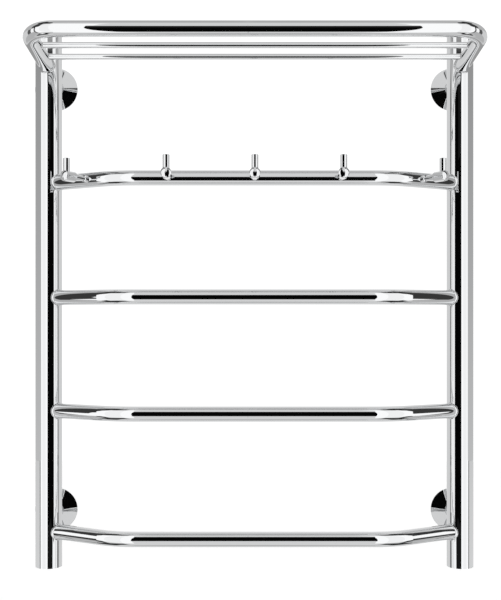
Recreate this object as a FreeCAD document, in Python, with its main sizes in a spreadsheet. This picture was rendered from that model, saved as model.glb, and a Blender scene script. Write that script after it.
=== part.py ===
import FreeCAD, Part
import math
import os

import Sketcher

# Ladder towel rail for hot water, with a tube shelf on top and five hooks on its top rung.
# Frame: X to the right, Y into the wall, Z up, millimetres. The wall's face is the plane Y = 0, and the
# origin is the middle of the four wall fixings.

SIZES = [
    ("upright_spacing", 500.0, "centre to centre of the two uprights"),
    ("upright_diameter", 32.0, "outer diameter of an upright"),
    ("upright_wall", 1.5, "tube wall of an upright"),
    ("upright_length", 650.0, "from the bottom end to the top of the cap's rim"),
    ("wall_distance", 48.0, "from the wall to the uprights' axes"),
    ("bracket_inset", 60.0, "from each end of an upright to the nearer wall fixing"),
    ("rung_diameter", 18.0, "outer diameter of a rung and of the shelf's tube"),
    ("rung_wall", 1.5, "tube wall of a rung and of the shelf's tube"),
    ("rung_bow", 49.0, "how far a rung's middle stands in front of the uprights' axes"),
    ("rung_slope", 29.0, "angle of a rung's straight ends to the wall, degrees"),
    ("rung_bend", 85.0, "bend radius of a rung, on the tube's axis"),
    ("rung_height_one", 464.8, "top rung, above the uprights' bottom ends"),
    ("rung_height_two", 326.0, "second rung"),
    ("rung_height_three", 189.3, "third rung"),
    ("rung_height_four", 43.1, "bottom rung"),
    ("shelf_drop", 46.4, "from the uprights' tops down to where the shelf's plane meets their axes"),
    ("shelf_depth", 127.7, "uprights' axes to the shelf's front tube, along the shelf"),
    ("shelf_tilt", 5.6, "rise of the shelf towards the front, degrees"),
    ("shelf_bend", 31.5, "bend radius of the shelf's corners, on the tube's axis"),
    ("bar_diameter", 7.0, "diameter of the shelf's cross bars"),
    ("front_bar_depth", 79.4, "uprights' axes to the front cross bar, along the shelf"),
    ("rear_bar_depth", 43.2, "uprights' axes to the rear cross bar, along the shelf"),
    ("hook_pitch", 100.0, "distance between neighbours of the middle three hooks, along X"),
    ("outer_hook_inset", 57.5, "from an upright's axis to the nearest hook's root, along X"),
    ("outer_hook_swing", 36.5, "angle by which an outer hook points away from the middle, degrees"),
    ("hook_reach", 47.0, "rung's axis to the tip of a hook's head"),
    ("head_diameter", 12.2, "hook's head"),
    ("head_length", 18.0, "hook's head, along the arm"),
    ("head_dome", 2.0, "rise of the head's domed end face"),
    ("neck_large_diameter", 9.2, "hook's neck where it meets the head"),
    ("neck_small_diameter", 5.6, "hook's neck where it meets the collar"),
    ("collar_diameter", 8.0, "collar at the hook's root"),
    ("collar_length", 5.0, "collar's length beyond the rung's surface"),
    ("peg_diameter", 8.0, "hook's upright peg"),
    ("peg_height", 20.6, "hook's axis to the peg's top"),
    ("peg_setback", 6.5, "head's end face to the peg's axis"),
    ("edge_break", 0.4, "chamfer on turned edges"),
    ("cap_thickness", 2.0, "rim of the cap that closes an upright's top"),
    ("cap_spigot", 5.0, "depth of the cap inside the tube"),
    ("cap_fit", 0.05, "radial gap between a cap's spigot and the tube's bore"),
    ("vent_diameter", 8.0, "bleed screw's thread"),
    ("vent_length", 8.0, "bleed screw's length below its head"),
    ("vent_head_diameter", 12.0, "bleed screw's head"),
    ("vent_head_height", 2.5, "bleed screw's head"),
    ("vent_slot", 1.4, "width and depth of the bleed screw's slot"),
    ("vent_seat", 0.1, "thickness of the bleed screw's seal, between its head and the cap"),
    ("socket_bore", 18.63, "minor diameter of the half-inch pipe thread"),
    ("socket_length", 18.0, "threaded ring in an upright's bottom end"),
    ("socket_recess", 1.0, "ring's face above the tube's end"),
    ("socket_chamfer", 1.2, "lead-in of the thread"),
    ("pin_diameter", 12.0, "rod behind an upright"),
    ("pin_gap", 14.0, "wall to the end of the rod"),
    ("slide_fit", 0.06, "radial gap of every piece that slides or turns in a hole"),
    ("sleeve_diameter", 20.0, "barrel of the wall sleeve"),
    ("sleeve_length", 28.0, "wall to the sleeve's mouth"),
    ("sleeve_floor", 8.0, "thickness of the sleeve's bottom"),
    ("flange_diameter", 30.0, "sleeve's foot on the wall"),
    ("flange_thickness", 2.0, "sleeve's foot on the wall"),
    ("rosette_diameter", 53.6, "rim of the rosette"),
    ("rosette_rim", 1.0, "height of the rosette's rim"),
    ("rosette_cone", 18.0, "slope of the rosette's cone to the wall, degrees"),
    ("rosette_sheet", 1.0, "thickness of the rosette's cone"),
    ("grub_diameter", 5.0, "grub screw's thread"),
    ("grub_place", 22.0, "wall to the grub screw's axis"),
    ("grub_key", 2.5, "hexagon socket of the grub screw, across flats"),
    ("grub_key_depth", 1.6, "depth of that socket"),
    ("grub_tip_gap", 0.1, "gap between the grub screw's tip and the rod"),
    ("screw_diameter", 5.0, "wall screw's thread, which begins at the wall's face"),
    ("screw_neck", 3.8, "wall screw's plain neck in the sleeve's floor"),
    ("screw_hole_fit", 0.25, "radial gap between the thread and the hole in the sleeve's floor"),
    ("screw_length", 50.0, "wall screw, below its head"),
    ("screw_point", 10.0, "wall screw's tapered end"),
    ("screw_head_diameter", 10.0, "wall screw's head"),
    ("screw_head_height", 3.0, "wall screw's head"),
    ("screw_head_chamfer", 0.8, "chamfer on the wall screw's head"),
    ("screw_slot", 1.2, "width of the cross slots in the head"),
    ("screw_slot_length", 6.0, "length of each cross slot"),
    ("screw_slot_depth", 1.5, "depth of the cross slots"),
]

RUNG_HEIGHTS = ["rung_height_one", "rung_height_two", "rung_height_three", "rung_height_four"]
SIDES = [("left", -1), ("right", 1)]
LEVELS = [("top", 1), ("bottom", -1)]
HOOK_STEPS = [-2, -1, 0, 1, 2]
OUTER_STEP = max(HOOK_STEPS)
SAME_POINT = 1e-6

TO_FRONT = FreeCAD.Rotation(FreeCAD.Vector(1, 0, 0), 90)
TO_WALL = FreeCAD.Rotation(FreeCAD.Vector(1, 0, 0), -90)
ALONG_X = FreeCAD.Rotation(FreeCAD.Vector(0, 1, 0), 90)
DOWNWARDS = FreeCAD.Rotation(FreeCAD.Vector(1, 0, 0), 180)
UPRIGHT = FreeCAD.Rotation()

doc = FreeCAD.newDocument("towel_rail")
size = doc.addObject("Spreadsheet::Sheet", "size")
for row, (alias, value, meaning) in enumerate(SIZES, start=1):
    size.set("A%d" % row, meaning)
    size.set("B%d" % row, str(value))
    size.setAlias("B%d" % row, alias)
doc.recompute()

nodes = {}


# ---------------------------------------------------------------- helpers

def value(expression):
    """Number that an expression over the sheet's cells gives."""
    return float(size.evalExpression(expression))


def bind(item, **expressions):
    """Tie properties of a document object to the sheet."""
    for name, expression in expressions.items():
        item.setExpression(name, expression)


def place(item, x="0", y="0", z="0", rotation=UPRIGHT):
    """Turn an object and tie its position to the sheet."""
    item.Placement = FreeCAD.Placement(FreeCAD.Vector(), rotation)
    for axis, expression in (("x", x), ("y", y), ("z", z)):
        item.setExpression("Placement.Base." + axis, expression)
    return item


def cylinder(name, radius, height, **position):
    """Part cylinder whose radius, height and place follow the sheet."""
    item = doc.addObject("Part::Cylinder", name)
    bind(item, Radius=radius, Height=height)
    return place(item, **position)


def box(name, length, width, height, **position):
    """Part box whose sizes and place follow the sheet."""
    item = doc.addObject("Part::Box", name)
    bind(item, Length=length, Width=width, Height=height)
    return place(item, **position)


def fuse(name, items):
    """Union of several solids, used as a cutting tool."""
    item = doc.addObject("Part::MultiFuse", name)
    item.Shapes = items
    return item


def cut(name, base, tool):
    """One solid minus another."""
    item = doc.addObject("Part::Cut", name)
    item.Base = base
    item.Tool = tool
    return item


def keep(label, item):
    """Name an object as a finished piece."""
    item.Label = label
    nodes[label] = item
    return item


def origin_plane(body, role):
    """Origin plane of a body, found by its role."""
    return next(item for item in body.Origin.OriginFeatures if item.Role == role)


def new_sketch(body, name, role):
    """Empty sketch on one of the body's own origin planes."""
    sketch = body.newObject("Sketcher::SketchObject", name)
    sketch.AttachmentSupport = [(origin_plane(body, role), "")]
    sketch.MapMode = "FlatFace"
    return sketch


def pin_point(sketch, geometry, end, across, along):
    """Tie one sketch point to two expressions, measured from the sketch's origin."""
    for kind, axis, expression in (("DistanceX", -2, across), ("DistanceY", -1, along)):
        if expression == "0":
            sketch.addConstraint(Sketcher.Constraint("PointOnObject", geometry, end, axis))
            continue
        number = value(expression)
        index = sketch.addConstraint(Sketcher.Constraint(kind, -1, 1, geometry, end, number))
        sketch.setExpression("Constraints[%d]" % index, expression)


def crown_arc(rim, pole):
    """Arc from the rim to the pole of a spherical crown that is centred on the turning axis."""
    centre_height = (pole.y ** 2 - rim.x ** 2 - rim.y ** 2) / (2 * (pole.y - rim.y))
    centre = FreeCAD.Vector(0, centre_height, 0)
    halfway = ((rim - centre) + (pole - centre)).normalize() * (pole.y - centre_height)
    return Part.Arc(rim, centre + halfway, pole)


def outline(body, name, points):
    """Closed outline on the body's XZ plane, each corner tied to the sheet.

    A point is (across, along). The edge that leaves (across, along, "crown") is part of a sphere
    centred on the turning axis, and ends at its pole.
    """
    sketch = new_sketch(body, name, "XZ_Plane")
    corners = [FreeCAD.Vector(value(point[0]), value(point[1]), 0) for point in points]
    heads = []
    tails = []
    for number, point in enumerate(points):
        start = corners[number]
        end = corners[(number + 1) % len(points)]
        if "crown" in point:
            edge = sketch.addGeometry(crown_arc(start, end), False)
            turned_round = (sketch.Geometry[edge].StartPoint - start).Length > SAME_POINT
            sketch.addConstraint(Sketcher.Constraint("PointOnObject", edge, 3, -2))
        else:
            edge = sketch.addGeometry(Part.LineSegment(start, end), False)
            turned_round = False
        heads.append(2 if turned_round else 1)
        tails.append(1 if turned_round else 2)
    for number, point in enumerate(points):
        before = (number - 1) % len(points)
        sketch.addConstraint(Sketcher.Constraint("Coincident", before, tails[before], number, heads[number]))
        pin_point(sketch, number, heads[number], point[0], point[1])
    return sketch


def turned(name, points):
    """Body turned about its own Z axis from an outline of (radius, height) corners."""
    body = doc.addObject("PartDesign::Body", name)
    sketch = outline(body, name + "_outline", points)
    revolution = body.newObject("PartDesign::Revolution", name + "_turning")
    revolution.Profile = sketch
    revolution.ReferenceAxis = (sketch, ["V_Axis"])
    revolution.Angle = 360
    return body


def bent_tube(name, path_points, bend, diameter, wall):
    """Bent tube in the body's XY plane.

    The path's corners are expressions; every inner corner gets a tangent arc of the bend radius.
    """
    body = doc.addObject("PartDesign::Body", name)
    path = new_sketch(body, name + "_path", "XY_Plane")
    corners = [FreeCAD.Vector(value(x), value(y), 0) for x, y in path_points]
    radius = value(bend)
    starts = []
    ends = []
    for number in range(1, len(corners) - 1):
        before = (corners[number - 1] - corners[number]).normalize()
        after = (corners[number + 1] - corners[number]).normalize()
        setback = radius / math.tan(before.getAngle(after) / 2)
        starts.append(corners[number] + before * setback)
        ends.append(corners[number] + after * setback)
    run_starts = [corners[0]] + ends
    run_ends = starts + [corners[-1]]
    runs = []
    for start, end in zip(run_starts, run_ends):
        runs.append(path.addGeometry(Part.LineSegment(start, end), False))
    for number, (start, end) in enumerate(zip(starts, ends)):
        corner = corners[number + 1]
        inwards = ((start + end) * 0.5 - corner).normalize()
        centre = corner + inwards * math.hypot((start - corner).Length, radius)
        crown = centre - inwards * radius
        arc = path.addGeometry(Part.Arc(start, crown, end), False)
        turned_round = (path.Geometry[arc].StartPoint - start).Length > SAME_POINT
        first, last = (2, 1) if turned_round else (1, 2)
        path.addConstraint(Sketcher.Constraint("Tangent", runs[number], 2, arc, first))
        path.addConstraint(Sketcher.Constraint("Tangent", arc, last, runs[number + 1], 1))
        index = path.addConstraint(Sketcher.Constraint("Radius", arc, radius))
        path.setExpression("Constraints[%d]" % index, bend)
    pin_point(path, runs[0], 1, *path_points[0])
    pin_point(path, runs[-1], 2, *path_points[-1])
    for number in range(1, len(corners) - 1):
        point = path.addGeometry(Part.Point(corners[number]), True)
        path.addConstraint(Sketcher.Constraint("PointOnObject", point, 1, runs[number - 1]))
        path.addConstraint(Sketcher.Constraint("PointOnObject", point, 1, runs[number]))
        pin_point(path, point, 1, *path_points[number])
    doc.recompute()

    section = body.newObject("Sketcher::SketchObject", name + "_section")
    section.AttachmentSupport = [(path, "Edge1")]
    section.MapMode = "NormalToEdge"
    section.MapPathParameter = 0
    middle = FreeCAD.Vector()
    normal = FreeCAD.Vector(0, 0, 1)
    for expression in ("%s / 2" % diameter, "%s / 2 - %s" % (diameter, wall)):
        circle = section.addGeometry(Part.Circle(middle, normal, value(expression)), False)
        section.addConstraint(Sketcher.Constraint("Coincident", circle, 3, -1, 1))
        index = section.addConstraint(Sketcher.Constraint("Radius", circle, value(expression)))
        section.setExpression("Constraints[%d]" % index, expression)
    doc.recompute()

    pipe = body.newObject("PartDesign::AdditivePipe", name + "_bending")
    pipe.Profile = section
    edge_order = ["Edge%d" % number for number in range(1, 2 * len(runs))]
    pipe.Spine = (path, edge_order)
    return body


# ---------------------------------------------------------------- uprights

HALF_SPACING = "size.upright_spacing / 2"
HALF_DROP = "size.upright_length / 2"
AXIS_Y = "-size.wall_distance"
BORE_RADIUS = "size.upright_diameter / 2 - size.upright_wall"


def upright_envelope(name, sign):
    """Solid cylinder of an upright's outside, for saddle cuts."""
    return cylinder(
        name, "size.upright_diameter / 2", "size.upright_length",
        x="%d * %s" % (sign, HALF_SPACING), y=AXIS_Y, z="-" + HALF_DROP)


def make_upright(side, sign):
    """Upright tube, with a waterway drilled through its wall at each rung."""
    tube_length = "size.upright_length - size.cap_thickness"
    at = {"x": "%d * %s" % (sign, HALF_SPACING), "y": AXIS_Y}
    outside = cylinder(side + "_outside", "size.upright_diameter / 2", tube_length, z="-" + HALF_DROP, **at)
    tools = [cylinder(side + "_bore", BORE_RADIUS, tube_length, z="-" + HALF_DROP, **at)]
    swing = FreeCAD.Rotation(FreeCAD.Vector(0, 0, 1), -sign * value("90 - size.rung_slope"))
    for number, height in enumerate(RUNG_HEIGHTS, start=1):
        waterway = cylinder(
            "%s_waterway_%d" % (side, number), "size.rung_diameter / 2 - size.rung_wall",
            "size.upright_diameter", z="size.%s - %s" % (height, HALF_DROP),
            rotation=swing.multiply(TO_FRONT), **at)
        tools.append(waterway)
    keep(side + "_upright", cut(side + "_upright", outside, fuse(side + "_upright_cuts", tools)))


def make_pipe_socket(side, sign):
    """Ring with a half-inch pipe thread inside an upright's bottom end."""
    body = turned(side + "_socket", [
        ("size.socket_bore / 2 + size.socket_chamfer", "0"),
        (BORE_RADIUS, "0"),
        (BORE_RADIUS, "size.socket_length"),
        ("size.socket_bore / 2", "size.socket_length"),
        ("size.socket_bore / 2", "size.socket_chamfer"),
    ])
    place(body, x="%d * %s" % (sign, HALF_SPACING), y=AXIS_Y, z="size.socket_recess - " + HALF_DROP)
    keep(side + "_pipe_socket", body)


def make_top_cap(side, sign, hole):
    """Disc with a spigot that closes an upright's top; the hole is for the bleed screw."""
    spigot = "%s - size.cap_fit" % BORE_RADIUS
    rim = "size.upright_diameter / 2"
    points = [
        ("0", "-size.cap_spigot"),
        (spigot, "-size.cap_spigot"),
        (spigot, "0"),
        (rim, "0"),
        (rim, "size.cap_thickness - size.edge_break"),
        (rim + " - size.edge_break", "size.cap_thickness"),
        ("0", "size.cap_thickness"),
    ]
    if hole:
        points[0] = (hole, "-size.cap_spigot")
        points[-1] = (hole, "size.cap_thickness")
    body = turned(side + "_cap", points)
    place(body, x="%d * %s" % (sign, HALF_SPACING), y=AXIS_Y, z=HALF_DROP + " - size.cap_thickness")
    keep(side + "_top_cap", body)


def make_vent_screw():
    """Slotted bleed screw in the right cap."""
    thread = "size.vent_diameter / 2"
    head = "size.vent_head_diameter / 2"
    body = turned("vent_blank", [
        ("0", "-size.vent_length"),
        (thread + " - size.edge_break", "-size.vent_length"),
        (thread, "size.edge_break - size.vent_length"),
        (thread, "0"),
        (head, "0"),
        (head, "size.vent_head_height - size.edge_break"),
        (head + " - size.edge_break", "size.vent_head_height"),
        ("0", "size.vent_head_height"),
    ])
    base = "%s + size.vent_seat" % HALF_DROP
    place(body, x=HALF_SPACING, y=AXIS_Y, z=base)
    slot = box(
        "vent_slot_cut", "size.vent_head_diameter", "size.vent_slot", "size.vent_slot",
        x="%s - %s" % (HALF_SPACING, head), y="%s - size.vent_slot / 2" % AXIS_Y,
        z="%s + size.vent_head_height - size.vent_slot" % base)
    keep("vent_screw", cut("vent_screw", body, slot))


# ---------------------------------------------------------------- rungs

def make_rung(number, height):
    """Rung bowed to the front, with saddle-cut ends on both uprights."""
    vertex = "%s - size.rung_bow / tan(size.rung_slope)" % HALF_SPACING
    body = bent_tube(
        "rung_%d_tube" % number,
        [
            ("-%s" % HALF_SPACING, "0"),
            ("-(%s)" % vertex, "-size.rung_bow"),
            (vertex, "-size.rung_bow"),
            (HALF_SPACING, "0"),
        ],
        "size.rung_bend", "size.rung_diameter", "size.rung_wall")
    place(body, y=AXIS_Y, z="size.%s - %s" % (height, HALF_DROP))
    saddles = fuse("rung_%d_saddles" % number, [
        upright_envelope("rung_%d_%s_saddle" % (number, side), sign) for side, sign in SIDES])
    keep("rung_%d" % number, cut("rung_%d" % number, body, saddles))


# ---------------------------------------------------------------- shelf

SHELF_Z = HALF_DROP + " - size.shelf_drop"


def make_shelf_frame():
    """U-shaped tube that slopes up to the front, with saddle-cut ends."""
    body = bent_tube(
        "shelf_tube",
        [
            ("-%s" % HALF_SPACING, "0"),
            ("-%s" % HALF_SPACING, "-size.shelf_depth"),
            (HALF_SPACING, "-size.shelf_depth"),
            (HALF_SPACING, "0"),
        ],
        "size.shelf_bend", "size.rung_diameter", "size.rung_wall")
    tilt = FreeCAD.Rotation(FreeCAD.Vector(1, 0, 0), -value("size.shelf_tilt"))
    place(body, y=AXIS_Y, z=SHELF_Z, rotation=tilt)
    saddles = fuse("shelf_saddles", [
        upright_envelope("shelf_%s_saddle" % side, sign) for side, sign in SIDES])
    keep("shelf_frame", cut("shelf_frame", body, saddles))


def make_shelf_bar(name, depth):
    """Rod across the shelf, saddle-cut where it meets the side arms."""
    rod = cylinder(
        name + "_rod", "size.bar_diameter / 2", "size.upright_spacing",
        x="-" + HALF_SPACING, y="%s - size.%s * cos(size.shelf_tilt)" % (AXIS_Y, depth),
        z="%s + size.%s * sin(size.shelf_tilt)" % (SHELF_Z, depth), rotation=ALONG_X)
    along_arm = FreeCAD.Rotation(FreeCAD.Vector(1, 0, 0), 90 - value("size.shelf_tilt"))
    arms = []
    for side, sign in SIDES:
        arms.append(cylinder(
            "%s_%s_arm" % (name, side), "size.rung_diameter / 2", "size.shelf_depth",
            x="%d * %s" % (sign, HALF_SPACING), y=AXIS_Y, z=SHELF_Z, rotation=along_arm))
    keep(name, cut(name, rod, fuse(name + "_arms", arms)))


# ---------------------------------------------------------------- hooks

def hook_frame(step):
    """Where a hook's root lies, which way the hook points and how the rung under it is turned."""
    if abs(step) == OUTER_STEP:
        outwards = 1 if step > 0 else -1
        across = "%d * (%s - size.outer_hook_inset)" % (outwards, HALF_SPACING)
        back = "size.outer_hook_inset * tan(size.rung_slope)"
        swing = outwards * value("size.outer_hook_swing")
        slope = outwards * value("size.rung_slope")
    else:
        across = "%d * size.hook_pitch" % step
        back = "size.rung_bow"
        swing = 0
        slope = 0
    turn = FreeCAD.Rotation(FreeCAD.Vector(0, 0, 1), swing)
    under = FreeCAD.Rotation(FreeCAD.Vector(0, 0, 1), slope)
    at = {"x": across, "y": "%s - %s" % (AXIS_Y, back), "z": "size.rung_height_one - " + HALF_DROP}
    return at, turn, under


def make_hook(number, step):
    """Turned arm that stands out of the top rung, and the peg on its head."""
    at, turn, under = hook_frame(step)
    head = "size.head_diameter / 2"
    collar_end = "size.rung_diameter / 2 + size.collar_length"
    head_start = "size.hook_reach - size.head_length"
    face = "size.hook_reach - size.head_dome"
    arm = turned("hook_%d_turning" % number, [
        ("0", "0"),
        ("size.collar_diameter / 2", "0"),
        ("size.collar_diameter / 2", collar_end + " - size.edge_break"),
        ("size.neck_small_diameter / 2", collar_end),
        ("size.neck_large_diameter / 2", head_start),
        (head + " - size.edge_break", head_start),
        (head, head_start + " + size.edge_break"),
        (head, face + " - size.edge_break"),
        (head + " - size.edge_break", face, "crown"),
        ("0", "size.hook_reach"),
    ])
    place(arm, rotation=turn.multiply(TO_FRONT), **at)
    across_rung = under.multiply(ALONG_X)
    saddle = cylinder(
        "hook_%d_saddle" % number, "size.rung_diameter / 2", "size.hook_pitch", rotation=across_rung, **at)
    shift = across_rung.multVec(FreeCAD.Vector(0, 0, -1))
    for axis, share in (("x", shift.x), ("y", shift.y)):
        saddle.setExpression("Placement.Base." + axis, "%s + %r * size.hook_pitch / 2" % (at[axis], share))
    keep("hook_arm_%d" % number, cut("hook_arm_%d" % number, arm, saddle))

    peg = turned("hook_%d_peg_turning" % number, [
        ("0", "0"),
        ("size.peg_diameter / 2", "0"),
        ("size.peg_diameter / 2", "size.peg_height - size.edge_break"),
        ("size.peg_diameter / 2 - size.edge_break", "size.peg_height"),
        ("0", "size.peg_height"),
    ])
    outwards = turn.multVec(FreeCAD.Vector(0, -1, 0))
    reach = "(size.hook_reach - size.peg_setback)"
    peg_x = "%s + %r * %s" % (at["x"], outwards.x, reach)
    peg_y = "%s + %r * %s" % (at["y"], outwards.y, reach)
    place(peg, x=peg_x, y=peg_y, z=at["z"], rotation=turn)
    seat = cylinder(
        "hook_%d_peg_seat" % number, head, "size.hook_reach", rotation=turn.multiply(TO_FRONT), **at)
    keep("hook_peg_%d" % number, cut("hook_peg_%d" % number, peg, seat))


# ---------------------------------------------------------------- wall brackets

def bracket_place(side_sign, level_sign):
    """Position expressions of a wall fixing."""
    return {
        "x": "%d * %s" % (side_sign, HALF_SPACING),
        "z": "%d * (%s - size.bracket_inset)" % (level_sign, HALF_DROP),
    }


def make_bracket_pin(corner, side_sign, level_sign):
    """Rod welded to the upright's back; it slides in the wall sleeve."""
    radius = "size.pin_diameter / 2"
    length = "size.wall_distance - size.pin_gap"
    rod = turned("pin_" + corner, [
        ("0", "0"),
        (radius, "0"),
        (radius, length + " - size.edge_break"),
        (radius + " - size.edge_break", length),
        ("0", length),
    ])
    place(rod, y=AXIS_Y, rotation=TO_WALL, **bracket_place(side_sign, level_sign))
    saddle = upright_envelope("pin_%s_saddle" % corner, side_sign)
    keep("bracket_pin_" + corner, cut("bracket_pin_" + corner, rod, saddle))


def make_wall_sleeve(corner, side_sign, level_sign):
    """Socket on the wall, with a tapped cross hole for the grub screw."""
    at = bracket_place(side_sign, level_sign)
    hole = "size.screw_diameter / 2 + size.screw_hole_fit"
    bore = "size.pin_diameter / 2 + size.slide_fit"
    barrel = "size.sleeve_diameter / 2"
    sleeve = turned("sleeve_" + corner, [
        (hole, "0"),
        ("size.flange_diameter / 2", "0"),
        ("size.flange_diameter / 2", "size.flange_thickness"),
        (barrel, "size.flange_thickness"),
        (barrel, "size.sleeve_length - size.edge_break"),
        (barrel + " - size.edge_break", "size.sleeve_length"),
        (bore, "size.sleeve_length"),
        (bore, "size.sleeve_floor"),
        (hole, "size.sleeve_floor"),
    ])
    place(sleeve, rotation=TO_FRONT, **at)
    tapping = cylinder(
        "tapping_" + corner, "size.grub_diameter / 2", barrel,
        x=at["x"], y="-size.grub_place", z=at["z"], rotation=DOWNWARDS)
    keep("wall_sleeve_" + corner, cut("wall_sleeve_" + corner, sleeve, tapping))


def make_grub_screw(corner, side_sign, level_sign):
    """Short socket screw from below, flush with the sleeve."""
    at = bracket_place(side_sign, level_sign)
    tip = "size.pin_diameter / 2 + size.grub_tip_gap"
    length = "size.sleeve_diameter / 2 - size.edge_break - (%s)" % tip
    screw = cylinder(
        "grub_%s_blank" % corner, "size.grub_diameter / 2 - size.slide_fit", length,
        x=at["x"], y="-size.grub_place", z="%s - (%s)" % (at["z"], tip), rotation=DOWNWARDS)
    key = doc.addObject("Part::Prism", "grub_%s_key" % corner)
    key.Polygon = 6
    bind(key, Circumradius="size.grub_key / sqrt(3)", Height="size.grub_key_depth")
    mouth = "size.sleeve_diameter / 2 - size.edge_break"
    place(key, x=at["x"], y="-size.grub_place", z="%s - (%s)" % (at["z"], mouth))
    keep("grub_screw_" + corner, cut("grub_screw_" + corner, screw, key))


def make_rosette(corner, side_sign, level_sign):
    """Conical cover that slides on the sleeve."""
    rim = "size.rosette_diameter / 2"
    bore = "size.sleeve_diameter / 2 + size.slide_fit"
    rise = "(%s - (%s)) * tan(size.rosette_cone)" % (rim, bore)
    inner_rim = "%s - size.rosette_sheet" % rim
    guide = "size.rosette_rim + %s - 2 * size.rosette_sheet" % rise
    inner_rise = "(%s - (%s) - size.rosette_sheet) * tan(size.rosette_cone)" % (inner_rim, bore)
    rosette = turned("cover_" + corner, [
        (inner_rim, "0"),
        (rim, "0"),
        (rim, "size.rosette_rim"),
        (bore, "size.rosette_rim + " + rise),
        (bore, guide),
        (bore + " + size.rosette_sheet", guide),
        (bore + " + size.rosette_sheet", inner_rise),
    ])
    place(rosette, rotation=TO_FRONT, **bracket_place(side_sign, level_sign))
    keep("rosette_" + corner, rosette)


def make_wall_screw(corner, side_sign, level_sign):
    """Cross-slotted wood screw through the sleeve's floor into the wall."""
    at = bracket_place(side_sign, level_sign)
    neck = "size.screw_neck / 2"
    thread = "size.screw_diameter / 2"
    head = "size.screw_head_diameter / 2"
    blank = turned("screw_" + corner, [
        ("0", "-size.screw_length"),
        (thread, "size.screw_point - size.screw_length"),
        (thread, "-size.sleeve_floor"),
        (neck, "-size.sleeve_floor"),
        (neck, "0"),
        (head, "0"),
        (head, "size.screw_head_height - size.screw_head_chamfer"),
        (head + " - size.screw_head_chamfer", "size.screw_head_height"),
        ("0", "size.screw_head_height"),
    ])
    place(blank, y="-size.sleeve_floor", rotation=TO_FRONT, **at)
    slots = []
    for name, width, height in (
        ("flat", "size.screw_slot_length", "size.screw_slot"),
        ("tall", "size.screw_slot", "size.screw_slot_length"),
    ):
        slots.append(box(
            "screw_%s_%s_slot" % (corner, name), width, "size.screw_slot_depth", height,
            x="%s - %s / 2" % (at["x"], width), y="-size.sleeve_floor - size.screw_head_height",
            z="%s - %s / 2" % (at["z"], height)))
    return cut("wall_screw_" + corner, blank, fuse("screw_%s_cross" % corner, slots))


# ---------------------------------------------------------------- the whole rail

for side, sign in SIDES:
    make_upright(side, sign)
    make_pipe_socket(side, sign)
make_top_cap("left", -1, None)
make_top_cap("right", 1, "size.vent_diameter / 2 + size.slide_fit")
make_vent_screw()
for number, height in enumerate(RUNG_HEIGHTS, start=1):
    make_rung(number, height)
make_shelf_frame()
make_shelf_bar("shelf_bar_front", "front_bar_depth")
make_shelf_bar("shelf_bar_rear", "rear_bar_depth")
for number, step in enumerate(HOOK_STEPS, start=1):
    make_hook(number, step)
wall_screws = doc.addObject("Part::Compound", "wall_screws")
screw_solids = []
for level, level_sign in LEVELS:
    for side, side_sign in SIDES:
        corner = level + "_" + side
        make_bracket_pin(corner, side_sign, level_sign)
        make_wall_sleeve(corner, side_sign, level_sign)
        make_grub_screw(corner, side_sign, level_sign)
        make_rosette(corner, side_sign, level_sign)
        screw_solids.append(make_wall_screw(corner, side_sign, level_sign))
wall_screws.Links = screw_solids
keep("wall_screws", wall_screws)
doc.recompute()

# ---------------------------------------------------------------- checks and export

for item in doc.Objects:
    if "Invalid" in item.State or "Error" in item.State:
        raise RuntimeError("%s failed to rebuild: %s" % (item.Name, item.State))
for label, item in nodes.items():
    if item.Shape.isNull() or not item.Shape.isValid() or item.Shape.Volume <= 0:
        raise RuntimeError("%s has no valid solid" % label)

os.makedirs("parts", exist_ok=True)
for label, item in nodes.items():
    item.Shape.exportStep("parts/%s.step" % label)
    print("%-28s %2d solid(s) %10.1f mm3" % (label, len(item.Shape.Solids), item.Shape.Volume))
print("%d nodes" % len(nodes))
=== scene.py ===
"""Polished ladder towel rail with a tube shelf, hooks and conical wall rosettes.

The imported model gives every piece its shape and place. This script gives each piece its finish, adds what
the plain solids leave out (the weld seams), and lights the rail in a white studio.
All lengths are in metres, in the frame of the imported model: X right, Y into the wall, Z up.
"""

import logging
import math
from dataclasses import dataclass
from enum import Enum
from typing import Any, Callable

import bmesh
import bpy
from mathutils import Matrix, Vector


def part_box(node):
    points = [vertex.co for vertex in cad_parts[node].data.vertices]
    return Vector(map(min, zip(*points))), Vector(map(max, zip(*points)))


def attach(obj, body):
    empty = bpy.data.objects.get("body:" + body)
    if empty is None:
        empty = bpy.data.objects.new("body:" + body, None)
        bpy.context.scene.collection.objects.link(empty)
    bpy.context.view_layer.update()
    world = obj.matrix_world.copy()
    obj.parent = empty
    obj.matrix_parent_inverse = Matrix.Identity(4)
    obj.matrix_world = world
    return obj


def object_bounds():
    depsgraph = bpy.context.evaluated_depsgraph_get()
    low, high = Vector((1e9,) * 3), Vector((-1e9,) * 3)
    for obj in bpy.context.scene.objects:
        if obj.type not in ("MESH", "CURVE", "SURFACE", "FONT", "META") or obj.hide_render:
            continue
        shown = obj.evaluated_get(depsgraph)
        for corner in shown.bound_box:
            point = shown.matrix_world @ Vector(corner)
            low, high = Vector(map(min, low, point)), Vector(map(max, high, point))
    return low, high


LOG = logging.getLogger("towel_rail")
MM = 0.001
NOISE_SPAN = (0.3, 0.7)  # nearly all of a noise texture's values lie in here
BANDS_PER_UNIT = 3.2  # a wave texture of scale 1 draws about this many bands in one unit
CREST_SHARE = 0.999  # a point this far up a tube's radius counts as its crest
RAIL = "rail"
SIDES = ("left", "right")
CORNERS = ("top_left", "top_right", "bottom_left", "bottom_right")

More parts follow.
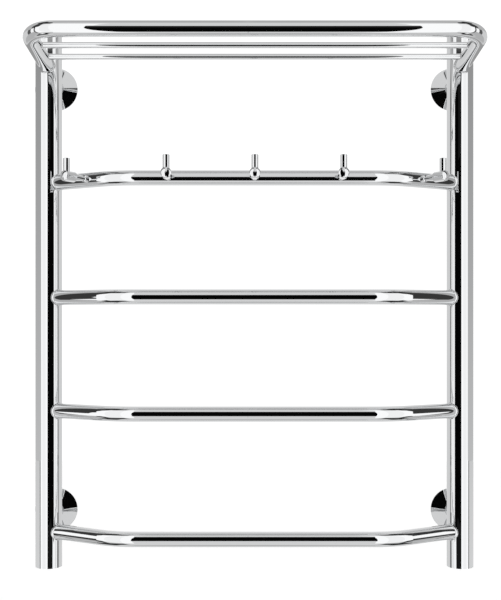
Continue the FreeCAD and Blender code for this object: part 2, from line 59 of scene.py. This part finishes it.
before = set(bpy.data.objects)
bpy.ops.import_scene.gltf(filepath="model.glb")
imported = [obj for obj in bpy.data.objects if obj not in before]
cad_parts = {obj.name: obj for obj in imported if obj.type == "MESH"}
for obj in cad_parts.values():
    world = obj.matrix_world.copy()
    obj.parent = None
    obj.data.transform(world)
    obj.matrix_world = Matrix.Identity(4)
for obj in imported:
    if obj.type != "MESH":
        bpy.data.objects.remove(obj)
cad_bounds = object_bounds()


# ------------------------------------------------------------------ small tools

def linear(hex_colour: str) -> tuple[float, float, float, float]:
    """Turns an sRGB hex colour into linear light.

    Args:
        hex_colour: six hex digits, such as "c9cbcc".

    Returns:
        The colour as linear red, green, blue and full alpha.
    """
    channels = []
    for start in (0, 2, 4):
        share = int(hex_colour[start:start + 2], 16) / 255
        channels.append(share / 12.92 if share <= 0.04045 else ((share + 0.055) / 1.055) ** 2.4)
    return channels[0], channels[1], channels[2], 1.0


def add_node(
    tree: bpy.types.NodeTree,
    kind: str,
    settings: dict[Any, Any] | None = None,
    links: dict[Any, bpy.types.NodeSocket] | None = None,
) -> bpy.types.Node:
    """Adds a node with its settings and its incoming links.

    Args:
        tree: the node tree that gets the node.
        kind: the node's Blender type name.
        settings: values by input name or number, or by the node's own property name.
        links: output sockets by the name or number of the input they feed.

    Returns:
        The new node.
    """
    node = tree.nodes.new(kind)
    for name, value in (settings or {}).items():
        if isinstance(name, int) or name in node.inputs:
            node.inputs[name].default_value = value
        else:
            setattr(node, name, value)
    for name, socket in (links or {}).items():
        tree.links.new(socket, node.inputs[name])
    return node


def box_of(node: str) -> tuple[Vector, Vector]:
    """Gives a node's lowest corner and its size.

    Args:
        node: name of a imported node.

    Returns:
        The lowest corner and the edge lengths of its box.
    """
    low, high = (Vector(corner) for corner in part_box(node))
    return low, high - low


def centre_of(node: str) -> Vector:
    """Gives the middle of a node's box."""
    low, size = box_of(node)
    return low + size / 2


def new_material(name: str) -> tuple[bpy.types.Material, bpy.types.NodeTree, bpy.types.Node]:
    """Starts a material.

    Args:
        name: the material's name.

    Returns:
        The material, its node tree and its surface shader.
    """
    material = bpy.data.materials.new(name)
    material.use_nodes = True
    return material, material.node_tree, material.node_tree.nodes["Principled BSDF"]


def new_object(name: str, work: bmesh.types.BMesh) -> bpy.types.Object:
    """Turns a finished bmesh into an object at the origin, and frees the bmesh.

    Args:
        name: name of the object and of its mesh.
        work: the finished shape.

    Returns:
        The object, linked to the scene.
    """
    mesh = bpy.data.meshes.new(name)
    work.to_mesh(mesh)
    work.free()
    piece = bpy.data.objects.new(name, mesh)
    bpy.context.scene.collection.objects.link(piece)
    return piece


# ------------------------------------------------------------------ finishes

class Lay(Enum):
    """Direction in which a surface was ground, brushed or turned, as stretch factors of its fine marks."""

    ALONG_X = (0.02, 1.0, 1.0)
    ALONG_Z = (1.0, 1.0, 0.02)
    EVEN = (1.0, 1.0, 1.0)


@dataclass(frozen=True)
class PolishedSteel:
    """Stainless steel tube, ground and buffed to a mirror.

    It gives the eye hard-edged reflections, a faint haze from buffing and the slightest waviness.
    """

    name: str
    lay: Lay = Lay.EVEN
    colour: str = "f4f5f6"
    roughness: float = 0.01
    haze: float = 0.01
    mark_width: float = 0.6 * MM
    ripple_width: float = 9 * MM
    ripple_height: float = 0.004 * MM

    def build(self) -> bpy.types.Material:
        """Makes the material.

        Returns:
            A metal with buffing haze in its roughness and a very shallow ripple.
        """
        material, tree, shader = new_material(self.name)
        shader.inputs["Base Color"].default_value = linear(self.colour)
        shader.inputs["Metallic"].default_value = 1.0
        place = add_node(tree, "ShaderNodeTexCoord")
        stretched = add_node(
            tree, "ShaderNodeMapping", {"Scale": self.lay.value}, {"Vector": place.outputs["Object"]})
        marks = add_node(
            tree, "ShaderNodeTexNoise",
            {"Scale": 1 / self.mark_width, "Detail": 3.0, "Roughness": 0.6},
            {"Vector": stretched.outputs["Vector"]})
        haze = add_node(
            tree, "ShaderNodeMapRange",
            {"From Min": NOISE_SPAN[0], "From Max": NOISE_SPAN[1],
             "To Min": self.roughness, "To Max": self.roughness + self.haze},
            {"Value": marks.outputs["Fac"]})
        tree.links.new(haze.outputs["Result"], shader.inputs["Roughness"])
        ripple = add_node(
            tree, "ShaderNodeTexNoise", {"Scale": 1 / self.ripple_width, "Detail": 1.0},
            {"Vector": place.outputs["Object"]})
        bump = add_node(
            tree, "ShaderNodeBump", {"Strength": 1.0, "Distance": self.ripple_height},
            {"Height": ripple.outputs["Fac"]})
        tree.links.new(bump.outputs["Normal"], shader.inputs["Normal"])
        return material


@dataclass(frozen=True)
class TurnedSteel:
    """Stainless steel from the lathe, with its fine rings left on.

    It gives the eye a satin glow that runs round the piece, across the turning axis.
    """

    name: str
    axis: str = "Y"
    colour: str = "b9bbbd"
    roughness: float = 0.22
    haze: float = 0.1
    smear_width: float = 2 * MM
    feed: float = 0.35 * MM
    groove_depth: float = 0.012 * MM

    def build(self) -> bpy.types.Material:
        """Makes the material.

        Returns:
            A metal with evenly spaced tool marks along the turning axis.
        """
        material, tree, shader = new_material(self.name)
        shader.inputs["Base Color"].default_value = linear(self.colour)
        shader.inputs["Metallic"].default_value = 1.0
        place = add_node(tree, "ShaderNodeTexCoord")
        rings = add_node(
            tree, "ShaderNodeTexWave",
            {"wave_type": "BANDS", "bands_direction": self.axis, "Scale": 1 / (self.feed * BANDS_PER_UNIT),
             "Distortion": 0.4, "Detail": 1.0},
            {"Vector": place.outputs["Object"]})
        smear = add_node(
            tree, "ShaderNodeTexNoise", {"Scale": 1 / self.smear_width, "Detail": 4.0},
            {"Vector": place.outputs["Object"]})
        haze = add_node(
            tree, "ShaderNodeMapRange",
            {"From Min": NOISE_SPAN[0], "From Max": NOISE_SPAN[1],
             "To Min": self.roughness, "To Max": self.roughness + self.haze},
            {"Value": smear.outputs["Fac"]})
        tree.links.new(haze.outputs["Result"], shader.inputs["Roughness"])
        bump = add_node(
            tree, "ShaderNodeBump", {"Strength": 1.0, "Distance": self.groove_depth},
            {"Height": rings.outputs["Fac"]})
        tree.links.new(bump.outputs["Normal"], shader.inputs["Normal"])
        return material


@dataclass(frozen=True)
class PlatedScrew:
    """Hardened steel screw with a thin plated or oxidised skin.

    It gives the eye a satin metal whose colour clouds a little where the skin is thicker.
    """

    name: str
    colour: str
    cloud_colour: str
    roughness: float = 0.3
    haze: float = 0.15
    cloud_width: float = 1.5 * MM

    def build(self) -> bpy.types.Material:
        """Makes the material.

        Returns:
            A metal with cloudy colour and uneven roughness.
        """
        material, tree, shader = new_material(self.name)
        shader.inputs["Metallic"].default_value = 1.0
        place = add_node(tree, "ShaderNodeTexCoord")
        clouds = add_node(
            tree, "ShaderNodeTexNoise", {"Scale": 1 / self.cloud_width, "Detail": 3.0},
            {"Vector": place.outputs["Object"]})
        skin = add_node(
            tree, "ShaderNodeMix",
            {"data_type": "RGBA", 6: linear(self.colour), 7: linear(self.cloud_colour)},
            {0: clouds.outputs["Fac"]})
        tree.links.new(skin.outputs[2], shader.inputs["Base Color"])
        haze = add_node(
            tree, "ShaderNodeMapRange",
            {"From Min": NOISE_SPAN[0], "From Max": NOISE_SPAN[1],
             "To Min": self.roughness, "To Max": self.roughness + self.haze},
            {"Value": clouds.outputs["Fac"]})
        tree.links.new(haze.outputs["Result"], shader.inputs["Roughness"])
        return material


def dress(material: bpy.types.Material, *nodes: str) -> list[str]:
    """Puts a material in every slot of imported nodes.

    Args:
        material: their finish.
        nodes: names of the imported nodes.

    Returns:
        The names of the dressed nodes.
    """
    for node in nodes:
        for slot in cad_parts[node].material_slots:
            slot.material = material
    return list(nodes)


# ------------------------------------------------------------------ weld seams

@dataclass(frozen=True)
class Rod:
    """Straight round stretch of tube or rod.

    Args:
        point: a point on its axis.
        axis: direction of its axis.
        radius: its outer radius.
    """

    point: Vector
    axis: Vector
    radius: float

    def surface_hit(self, start: Vector, direction: Vector, grow: float) -> Vector:
        """Finds where a line leaves this rod's surface.

        Args:
            start: a point of the line, inside the rod.
            direction: unit direction in which it leaves.
            grow: how much the rod's radius is enlarged.

        Returns:
            The point on the enlarged surface.
        """
        axis = self.axis.normalized()
        across = direction - axis * direction.dot(axis)
        offset = start - self.point
        offset = offset - axis * offset.dot(axis)
        a = across.dot(across)
        b = across.dot(offset)
        c = offset.dot(offset) - (self.radius + grow) ** 2
        return start + direction * ((-b + math.sqrt(max(b * b - a * c, 0.0))) / a)


@dataclass(frozen=True)
class Seam:
    """Ground and polished weld seam where one tube ends on another.

    The seam is a closed ring with a hollow throat, which blends the two surfaces.
    """

    name: str
    branch: Rod
    main: Rod
    leg: float = 1.3 * MM
    bite: float = 0.25 * MM
    segments: int = 72
    throat_steps: int = 5

    def section(self) -> list[tuple[float, float]]:
        """Gives the ring's section.

        Returns:
            Pairs of height above the branch's surface and height above the main tube's surface.
        """
        throat = []
        for step in range(self.throat_steps + 1):
            angle = math.pi / 2 * step / self.throat_steps
            throat.append((self.leg * (1 - math.sin(angle)), self.leg * (1 - math.cos(angle))))
        return throat + [(-self.bite, self.leg), (-self.bite, -self.bite), (self.leg, -self.bite)]

    def build(self) -> bpy.types.Object:
        """Makes the seam's mesh.

        Returns:
            The seam as an object at the origin.
        """
        out = self.branch.axis.normalized()
        side = out.orthogonal().normalized()
        other = out.cross(side)
        work = bmesh.new()
        first = bmesh.ops.create_circle(work, segments=self.segments, radius=1.0)["verts"]
        angles = [math.atan2(vert.co.y, vert.co.x) for vert in first]
        ring = list(first)
        edges = list(work.edges)
        start_edges = list(edges)
        for number, (outwards, upwards) in enumerate(self.section()):
            if number:
                made = bmesh.ops.extrude_edge_only(work, edges=edges)["geom"]
                edges = [item for item in made if isinstance(item, bmesh.types.BMEdge)]
                fresh = {item for item in made if isinstance(item, bmesh.types.BMVert)}
                edges = [edge for edge in edges if set(edge.verts) <= fresh]
                ring = [
                    next(edge.other_vert(vert) for edge in vert.link_edges
                         if edge.other_vert(vert) in fresh)
                    for vert in ring
                ]
            reach = self.branch.radius + outwards
            for vert, angle in zip(ring, angles):
                spoke = side * math.cos(angle) + other * math.sin(angle)
                start = self.branch.point + spoke * reach
                vert.co = self.main.surface_hit(start, out, upwards)
        bmesh.ops.bridge_loops(work, edges=start_edges + edges)
        bmesh.ops.recalc_face_normals(work, faces=list(work.faces))
        for face in work.faces:
            face.smooth = True
        return new_object(self.name, work)


# ------------------------------------------------------------------ the rail

@dataclass
class TubeFrame:
    """Uprights, rungs and shelf: everything that is made of polished tube."""

    seam_leg: float = 1.3 * MM
    bar_seam_leg: float = 0.8 * MM
    seam_roughness: float = 0.06
    rungs: tuple[str, ...] = ("rung_1", "rung_2", "rung_3", "rung_4")
    bars: tuple[str, ...] = ("shelf_bar_front", "shelf_bar_rear")

    def upright(self, side: str) -> Rod:
        """Gives an upright's outer shape."""
        low, size = box_of(side + "_upright")
        return Rod(low + size / 2, Vector((0, 0, 1)), size.x / 2)

    def rung_end(self, rung: str, side: str) -> Rod:
        """Finds the straight end of a rung.

        Args:
            rung: name of the rung's node.
            side: which upright it meets.

        Returns:
            The end's shape, with its axis pointing away from the upright.
        """
        low, size = box_of(rung)
        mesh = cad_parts[rung].data
        radius = size.z / 2
        height = low.z + radius
        root = self.upright(side)
        sign = 1 if side == "right" else -1
        crest = [
            vert.co.copy() for vert in mesh.vertices
            if abs(vert.co.z - height) > radius * CREST_SHARE and vert.co.x * sign > 0
        ]
        crest.sort(key=lambda point: -point.x * sign)
        start = Vector((root.point.x, root.point.y, height))
        away = Vector((crest[0].x, crest[0].y, height)) - start
        return Rod(start, away.normalized(), radius)

    def shelf_arm(self, side: str) -> Rod:
        """Finds a side arm of the shelf.

        Args:
            side: which arm.

        Returns:
            The arm's shape, with its axis pointing to the front.
        """
        tube_radius = box_of("rung_1")[1].z / 2
        root = self.upright(side)
        rear, front = (centre_of(name) for name in reversed(self.bars))
        rise = (front.z - rear.z) / (rear.y - front.y)
        start_height = rear.z - rise * (root.point.y - rear.y)
        start = Vector((root.point.x, root.point.y, start_height))
        return Rod(start, Vector((0, -1, rise)).normalized(), tube_radius)

    def seams(self) -> list[Seam]:
        """Lists the weld seams of the rungs, the shelf and its bars.

        Returns:
            The seams, left side first.
        """
        seams = []
        for side in SIDES:
            upright = self.upright(side)
            for rung in self.rungs:
                name = "seam_%s_%s" % (rung, side)
                seams.append(Seam(name, self.rung_end(rung, side), upright, self.seam_leg))
            arm = self.shelf_arm(side)
            seams.append(Seam("seam_shelf_" + side, arm, upright, self.seam_leg))
            inwards = Vector((-1 if side == "right" else 1, 0, 0))
            for bar in self.bars:
                low, size = box_of(bar)
                root = Vector((arm.point.x, low.y + size.y / 2, low.z + size.z / 2))
                rod = Rod(root, inwards, size.z / 2)
                seams.append(Seam("seam_%s_%s" % (bar, side), rod, arm, self.bar_seam_leg))
        return seams

    def build(self) -> list[str]:
        """Dresses the tubes and adds the weld seams.

        Returns:
            The names of the finished pieces.
        """
        upright_steel = PolishedSteel("polished_tube_upright", Lay.ALONG_Z).build()
        rung_steel = PolishedSteel("polished_tube_rung", Lay.ALONG_X).build()
        seam_steel = PolishedSteel("polished_weld_seam", Lay.EVEN, roughness=self.seam_roughness).build()
        pieces = dress(upright_steel, *(side + "_upright" for side in SIDES))
        pieces += dress(seam_steel, *(side + "_top_cap" for side in SIDES))
        pieces += dress(rung_steel, *self.rungs, "shelf_frame", *self.bars)
        for seam in self.seams():
            piece = seam.build()
            piece.data.materials.append(seam_steel)
            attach(piece, RAIL)
            pieces.append(piece.name)
        return pieces


@dataclass
class Hooks:
    """Five hooks on the top rung: a turned arm and an upright peg each."""

    count: int = 5
    roughness: float = 0.03

    def build(self) -> list[str]:
        """Dresses the hooks.

        Returns:
            The names of the dressed pieces.
        """
        steel = PolishedSteel("polished_turned_hook", Lay.EVEN, roughness=self.roughness).build()
        numbers = range(1, self.count + 1)
        return dress(steel, *("hook_%s_%d" % (part, number) for number in numbers for part in ("arm", "peg")))


@dataclass
class WallBrackets:
    """Rosettes, sleeves, pins and screws at the wall."""

    cover_roughness: float = 0.03
    zinc_roughness: float = 0.25

    def build(self) -> list[str]:
        """Dresses every piece of the four brackets.

        Returns:
            The names of the dressed pieces.
        """
        cover = PolishedSteel("polished_spun_rosette", Lay.EVEN, roughness=self.cover_roughness).build()
        turned = TurnedSteel("turned_stainless_sleeve").build()
        black = PlatedScrew("black_oxide_grub_screw", "1b1b1d", "2a2a2c").build()
        zinc = PlatedScrew("zinc_plated_wall_screw", "c3c6c8", "b5b3a4", self.zinc_roughness).build()
        pieces = []
        for corner in CORNERS:
            pieces += dress(cover, "rosette_" + corner)
            pieces += dress(turned, "wall_sleeve_" + corner, "bracket_pin_" + corner)
            pieces += dress(black, "grub_screw_" + corner)
        return pieces + dress(zinc, "wall_screws")


@dataclass
class Plumbing:
    """Pipe sockets in the bottom ends and the bleed screw at the top."""

    socket_roughness: float = 0.2
    screw_roughness: float = 0.14

    def build(self) -> list[str]:
        """Dresses the sockets and the bleed screw.

        Returns:
            The names of the dressed pieces.
        """
        socket = TurnedSteel("turned_stainless_socket", "Z", roughness=self.socket_roughness).build()
        pieces = dress(socket, *(side + "_pipe_socket" for side in SIDES))
        screw = TurnedSteel("turned_stainless_bleed_screw", "Z", roughness=self.screw_roughness).build()
        return pieces + dress(screw, "vent_screw")


# ------------------------------------------------------------------ studio

@dataclass(frozen=True)
class Zone:
    """Part of the surround, by direction from the rail, that has its own brightness.

    Args:
        grey: its brightness in linear light.
        aside: smallest and largest angle away from the front, to either side, in degrees.
        height: smallest and largest angle above the horizon, in degrees.
        soft: width of its blurred edge, in degrees.
    """

    grey: float
    aside: tuple[float, float]
    height: tuple[float, float] = (-91.0, 91.0)
    soft: float = 4.0


@dataclass(frozen=True)
class Card:
    """Upright card before or beside the rail, which only reflections see.

    Args:
        name: the card's name.
        start: one upright edge, as its place across the rail and its depth.
        end: the other upright edge.
        upwards: its lower and upper edge.
        glow: how strongly it shines at its lower and at its upper edge; a dark card has none.
        cloth: colour of its cloth, a black that throws nearly nothing back.
    """

    name: str
    start: tuple[float, float]
    end: tuple[float, float]
    upwards: tuple[float, float]
    glow: tuple[float, float] = (0.0, 0.0)
    cloth: str = "070707"

    def build(self) -> str:
        """Hangs the card.

        Returns:
            The card's name.
        """
        start, way = Vector(self.start), Vector(self.end) - Vector(self.start)
        middle = start + way / 2
        bottom, top = self.upwards
        work = bmesh.new()
        bmesh.ops.create_grid(work, x_segments=1, y_segments=1, size=0.5)
        bmesh.ops.scale(work, vec=(way.length, top - bottom, 1.0), verts=work.verts)
        bmesh.ops.rotate(work, matrix=Matrix.Rotation(math.pi / 2, 3, "X"), verts=work.verts)
        bmesh.ops.rotate(work, matrix=Matrix.Rotation(math.atan2(way.y, way.x), 3, "Z"), verts=work.verts)
        bmesh.ops.translate(work, vec=(middle.x, middle.y, (bottom + top) / 2), verts=work.verts)
        card = new_object(self.name, work)
        material, tree, shader = new_material(self.name + "_cloth")
        shader.inputs["Base Color"].default_value = linear(self.cloth)
        shader.inputs["Roughness"].default_value = 1.0
        shader.inputs["Specular IOR Level"].default_value = 0.0
        shader.inputs["Emission Color"].default_value = linear("ffffff")
        place = add_node(tree, "ShaderNodeTexCoord")
        parts = add_node(tree, "ShaderNodeSeparateXYZ", links={"Vector": place.outputs["Object"]})
        shine = add_node(
            tree, "ShaderNodeMapRange",
            {"From Min": bottom, "From Max": top, "To Min": self.glow[0], "To Max": self.glow[1]},
            {"Value": parts.outputs["Z"]})
        tree.links.new(shine.outputs["Result"], shader.inputs["Emission Strength"])
        card.data.materials.append(material)
        card.visible_camera = False
        card.visible_shadow = False
        card.visible_diffuse = False
        return card.name


@dataclass
class Studio:
    """White studio: an even surround with greyer zones, a dark flag at the front, cards and a pale floor."""

    base: float = 0.68
    zones: tuple[Zone, ...] = (
        Zone(0.40, (-5.0, 185.0), (72.0, 95.0), 22.0),  # overhead
        Zone(0.42, (-5.0, 185.0), (-95.0, -80.0), 14.0),  # underfoot
        Zone(0.47, (66.0, 148.0), (-50.0, 50.0), 14.0),  # to either side
        Zone(0.66, (104.0, 170.0), (-16.0, 16.0), 3.0),  # aslant behind
        Zone(0.85, (168.0, 185.0), (-40.0, 40.0), 16.0),  # straight behind
        Zone(0.10, (88.0, 104.0), (-16.0, 13.5), 3.0),  # dark strip beside the rail
        Zone(1.00, (75.0, 88.0), (-16.0, 13.5), 2.0),  # bright strip before that one
        Zone(0.01, (-5.0, 60.0), (-15.5, 15.5), 2.0),  # black front, level with the rail
        Zone(0.03, (32.0, 120.0), (52.0, 71.0), 4.0),  # dark strip high up
        Zone(0.03, (32.0, 120.0), (-71.0, -52.0), 4.0),  # dark strip low down
        Zone(0.04, (61.0, 75.0), (-54.0, 54.0), 3.0),  # dark upright strip towards the front
        Zone(0.04, (61.0, 94.0), (16.0, 52.0), 4.0),  # dark patch above the bright strip
    )
    # The flag gives the tubes their black core, and the curtain parts the left reflections from the right ones.
    flag_half_width: float = 0.248
    flag_bottom: float = -0.38
    flag_top: float = 0.255
    flag_depth: float = -0.58
    curtain_depth: float = -0.225
    curtain_height: float = 0.36
    # Bright screens run on from the flag to either side: outer edge and glow of each.
    screens: tuple[tuple[float, float], ...] = ((0.40, 1.05), (0.80, 0.95), (1.35, 1.05))
    screen_height: float = 0.85
    low_screen: tuple[tuple[float, float], tuple[float, float]] = ((0.526, -0.277), (0.564, -0.185))
    low_screen_heights: tuple[float, float] = (-0.37, -0.15)
    low_screen_glow: tuple[float, float] = (1.05, 1.05)
    # Grey laths stand beside the uprights and shade their outer edges: name, depths, heights and glow.
    lath_aside: float = 0.29
    laths: tuple[tuple[str, tuple[float, float], tuple[float, float], tuple[float, float]], ...] = (
        ("upper_lath", (-0.083, 0.0), (-0.2, 0.32), (0.54, 0.3)),
        ("lower_lath", (-0.0725, 0.0), (-0.36, -0.2), (0.7, 0.62)),
        ("lower_lath_edge", (-0.0778, -0.0725), (-0.36, -0.2), (0.0, 0.0)),
    )
    backdrop: float = 1.1
    floor_drop: float = 0.9
    floor_size: float = 14.0
    floor_glow: float = 0.6

    def build_cards(self, camera_aside: float) -> list[str]:
        """Hangs the dark flag and curtain, the bright screens beside them and the laths at the uprights.

        Args:
            camera_aside: the camera's place across the rail.

        Returns:
            The names of the cards.
        """
        flag = self.flag_half_width
        front = self.flag_depth
        cards = [
            Card("dark_flag", (-flag, front), (flag, front), (self.flag_bottom, self.flag_top)),
            Card(
                "dark_curtain", (camera_aside, front), (camera_aside, self.curtain_depth),
                (-self.curtain_height, self.curtain_height)),
        ]
        for side, sign in (("left", -1), ("right", 1)):
            inner = flag
            for number, (outer, glow) in enumerate(self.screens, start=1):
                cards.append(Card(
                    "%s_screen_%d" % (side, number), (sign * inner, front), (sign * outer, front),
                    (-self.screen_height, self.screen_height), (glow, glow)))
                inner = outer
            near, far = ((sign * across, depth) for across, depth in self.low_screen)
            cards.append(Card(side + "_low_screen", near, far, self.low_screen_heights, self.low_screen_glow))
            for name, (near_depth, far_depth), heights, glow in self.laths:
                aside = sign * self.lath_aside
                cards.append(Card(side + "_" + name, (aside, near_depth), (aside, far_depth), heights, glow))
        return [card.build() for card in cards]

    def between(
        self,
        tree: bpy.types.NodeTree,
        angle: bpy.types.NodeSocket,
        span: tuple[float, float],
        soft: float,
    ) -> bpy.types.NodeSocket:
        """Marks where an angle lies in a span, with blurred edges.

        Args:
            tree: the world's node tree.
            angle: the angle, in degrees.
            span: smallest and largest angle.
            soft: width of the blur, in degrees.

        Returns:
            A socket that is 1 inside the span and 0 outside.
        """
        rise = add_node(
            tree, "ShaderNodeMapRange",
            {"interpolation_type": "SMOOTHSTEP",
             "From Min": span[0] - soft / 2, "From Max": span[0] + soft / 2},
            {"Value": angle})
        fall = add_node(
            tree, "ShaderNodeMapRange",
            {"interpolation_type": "SMOOTHSTEP",
             "From Min": span[1] + soft / 2, "From Max": span[1] - soft / 2},
            {"Value": angle})
        both = add_node(
            tree, "ShaderNodeMath", {"operation": "MULTIPLY"},
            {0: rise.outputs["Result"], 1: fall.outputs["Result"]})
        return both.outputs["Value"]

    def build_world(self) -> None:
        """Makes the surround: pure white to the eye, zoned in reflections and as light."""
        world = bpy.data.worlds.new("white_studio")
        world.use_nodes = True
        bpy.context.scene.world = world
        tree = world.node_tree
        tree.nodes.clear()
        place = add_node(tree, "ShaderNodeTexCoord")
        parts = add_node(tree, "ShaderNodeSeparateXYZ", links={"Vector": place.outputs["Generated"]})
        sideways = add_node(tree, "ShaderNodeMath", {"operation": "ABSOLUTE"}, {0: parts.outputs["X"]})
        forwards = add_node(
            tree, "ShaderNodeMath", {"operation": "MULTIPLY", 1: -1.0}, {0: parts.outputs["Y"]})
        turn = add_node(
            tree, "ShaderNodeMath", {"operation": "ARCTAN2"},
            {0: sideways.outputs["Value"], 1: forwards.outputs["Value"]})
        aside = add_node(
            tree, "ShaderNodeMath", {"operation": "DEGREES"}, {0: turn.outputs["Value"]}).outputs["Value"]
        climb = add_node(tree, "ShaderNodeMath", {"operation": "ARCSINE"}, {0: parts.outputs["Z"]})
        height = add_node(
            tree, "ShaderNodeMath", {"operation": "DEGREES"}, {0: climb.outputs["Value"]}).outputs["Value"]
        level = add_node(tree, "ShaderNodeValue")
        level.outputs["Value"].default_value = self.base
        brightness = level.outputs["Value"]
        for zone in self.zones:
            across = self.between(tree, aside, zone.aside, zone.soft)
            upwards = self.between(tree, height, zone.height, zone.soft)
            inside = add_node(tree, "ShaderNodeMath", {"operation": "MULTIPLY"}, {0: across, 1: upwards})
            blend = add_node(
                tree, "ShaderNodeMix", {"data_type": "FLOAT", 3: zone.grey},
                {0: inside.outputs["Value"], 2: brightness})
            brightness = blend.outputs[0]
        sight = add_node(tree, "ShaderNodeLightPath")
        seen = add_node(
            tree, "ShaderNodeMix", {"data_type": "FLOAT", 3: self.backdrop},
            {0: sight.outputs["Is Camera Ray"], 2: brightness})
        back = add_node(
            tree, "ShaderNodeBackground", {"Color": linear("ffffff")}, {"Strength": seen.outputs[0]})
        add_node(tree, "ShaderNodeOutputWorld", links={"Surface": back.outputs["Background"]})

    def build_floor(self, low: float) -> str:
        """Lays the pale floor below the rail.

        Args:
            low: height of the rail's lowest point.

        Returns:
            The floor's name.
        """
        work = bmesh.new()
        bmesh.ops.create_grid(work, x_segments=1, y_segments=1, size=self.floor_size / 2)
        bmesh.ops.translate(work, vec=(0, 0, low - self.floor_drop), verts=work.verts)
        floor = new_object("floor", work)
        material, _, shader = new_material("pale_floor_paint")
        shader.inputs["Base Color"].default_value = linear("f4f4f4")
        shader.inputs["Roughness"].default_value = 0.8
        shader.inputs["Emission Color"].default_value = linear("ffffff")
        shader.inputs["Emission Strength"].default_value = self.floor_glow
        floor.data.materials.append(material)
        floor.visible_glossy = False
        return floor.name

    def build(self) -> list[str]:
        """Sets up the surround, the cards and the floor.

        Returns:
            The names of the cards and the floor.
        """
        self.build_world()
        return [*self.build_cards(Camera.aside), self.build_floor(cad_bounds[0].z)]


@dataclass
class Camera:
    """Level camera in front of the rail, a little below its middle."""

    distance: float = 1.2
    aside: float = -0.0078
    height: float = -0.0236
    lens: float = 59.2
    sensor: float = 36.0
    shift_across: float = 0.0042
    shift_up: float = 0.03

    def build(self) -> list[str]:
        """Sets up the scene's camera.

        Returns:
            The camera's name.
        """
        axis_depth = centre_of("left_upright").y
        data = bpy.data.cameras.new("camera")
        data.lens = self.lens
        data.sensor_width = self.sensor
        data.shift_x = self.shift_across
        data.shift_y = self.shift_up
        camera = bpy.data.objects.new("camera", data)
        camera.location = (self.aside, axis_depth - self.distance, self.height)
        camera.rotation_euler = (math.pi / 2, 0, 0)
        bpy.context.scene.collection.objects.link(camera)
        bpy.context.scene.camera = camera
        return [camera.name]


def report(title: str, build: Callable[[], list[str]]) -> None:
    """Builds one sub-assembly and logs each of its pieces.

    Args:
        title: what is built.
        build: the method that builds it and names its pieces.
    """
    for piece in build():
        LOG.info("%s: %s", title, piece)


def main() -> None:
    """Builds the sub-assemblies in order, then the studio."""
    logging.basicConfig(level=logging.INFO, format="%(name)s: %(message)s")
    report("uprights, rungs and shelf", TubeFrame().build)
    report("hooks", Hooks().build)
    report("wall brackets", WallBrackets().build)
    report("pipe sockets and bleed screw", Plumbing().build)
    report("studio", Studio().build)
    report("camera", Camera().build)
    bpy.context.scene.view_settings.view_transform = "Standard"
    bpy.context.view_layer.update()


if __name__ == "__main__":
    main()
